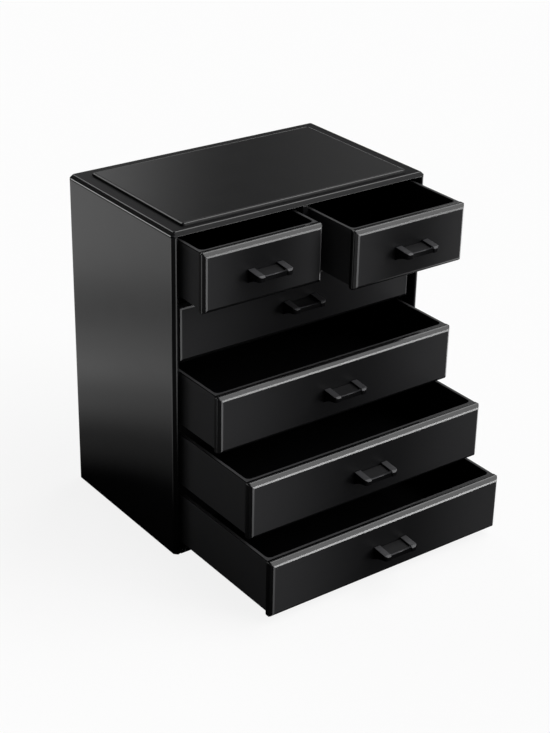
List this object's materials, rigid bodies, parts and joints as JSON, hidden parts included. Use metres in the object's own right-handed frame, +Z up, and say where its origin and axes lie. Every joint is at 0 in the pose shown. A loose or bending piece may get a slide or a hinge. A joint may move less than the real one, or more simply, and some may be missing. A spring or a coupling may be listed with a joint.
{
  "type": "makeup organizer with drawers",
  "caption": "Countertop makeup organizer: a bevelled cabinet with stacked drawers, two half-width ones side by side on top and full-width ones below, each with a shelf pull.",
  "frame": {"origin": "middle of the cabinet's footprint, on the surface that it stands on", "axes": "+Z up, -Y the side that the drawers open towards, +X to the right seen from the front"},
  "size_m": [0.24, 0.2843, 0.2762],
  "materials": {
    "cabinet_gloss": "glossy black moulded polystyrene",
    "front_gloss": "glossy black moulded polystyrene with polished bevels",
    "tray_gloss": "glossy black moulded polystyrene",
    "pull_satin": "satin black moulded ABS"
  },
  "bodies": {
    "cabinet": {"left_side_panel": "cabinet_gloss", "right_side_panel": "cabinet_gloss", "roof_panel": "cabinet_gloss", "base_panel": "cabinet_gloss", "back_panel": "cabinet_gloss", "centre_divider": "cabinet_gloss", "shelf_under_top_row": "cabinet_gloss", "shelf_under_second_row": "cabinet_gloss", "shelf_under_third_row": "cabinet_gloss", "shelf_under_fourth_row": "cabinet_gloss"},
    "top_left_drawer": {"top_left_drawer_tray": "tray_gloss", "top_left_drawer_front": "front_gloss", "top_left_drawer_pull": "pull_satin"},
    "top_right_drawer": {"top_right_drawer_tray": "tray_gloss", "top_right_drawer_front": "front_gloss", "top_right_drawer_pull": "pull_satin"},
    "second_drawer": {"second_drawer_tray": "tray_gloss", "second_drawer_front": "front_gloss", "second_drawer_pull": "pull_satin"},
    "third_drawer": {"third_drawer_tray": "tray_gloss", "third_drawer_front": "front_gloss", "third_drawer_pull": "pull_satin"},
    "fourth_drawer": {"fourth_drawer_tray": "tray_gloss", "fourth_drawer_front": "front_gloss", "fourth_drawer_pull": "pull_satin"},
    "bottom_drawer": {"bottom_drawer_tray": "tray_gloss", "bottom_drawer_front": "front_gloss", "bottom_drawer_pull": "pull_satin"}
  },
  "joints": [
    {"name": "top_left_drawer_slide", "type": "slide", "parent": "cabinet", "child": "top_left_drawer", "axis": [0, -1, 0], "range_m": [-0.03399, 0.09301]},
    {"name": "top_right_drawer_slide", "type": "slide", "parent": "cabinet", "child": "top_right_drawer", "axis": [0, -1, 0], "range_m": [-0.06061, 0.06639]},
    {"name": "second_drawer_slide", "type": "slide", "parent": "cabinet", "child": "second_drawer", "axis": [0, -1, 0], "range_m": [0, 0.127]},
    {"name": "third_drawer_slide", "type": "slide", "parent": "cabinet", "child": "third_drawer", "axis": [0, -1, 0], "range_m": [-0.0545, 0.0725]},
    {"name": "fourth_drawer_slide", "type": "slide", "parent": "cabinet", "child": "fourth_drawer", "axis": [0, -1, 0], "range_m": [-0.0951, 0.0319]},
    {"name": "bottom_drawer_slide", "type": "slide", "parent": "cabinet", "child": "bottom_drawer", "axis": [0, -1, 0], "range_m": [-0.1227, 0.0043]}
  ]
}
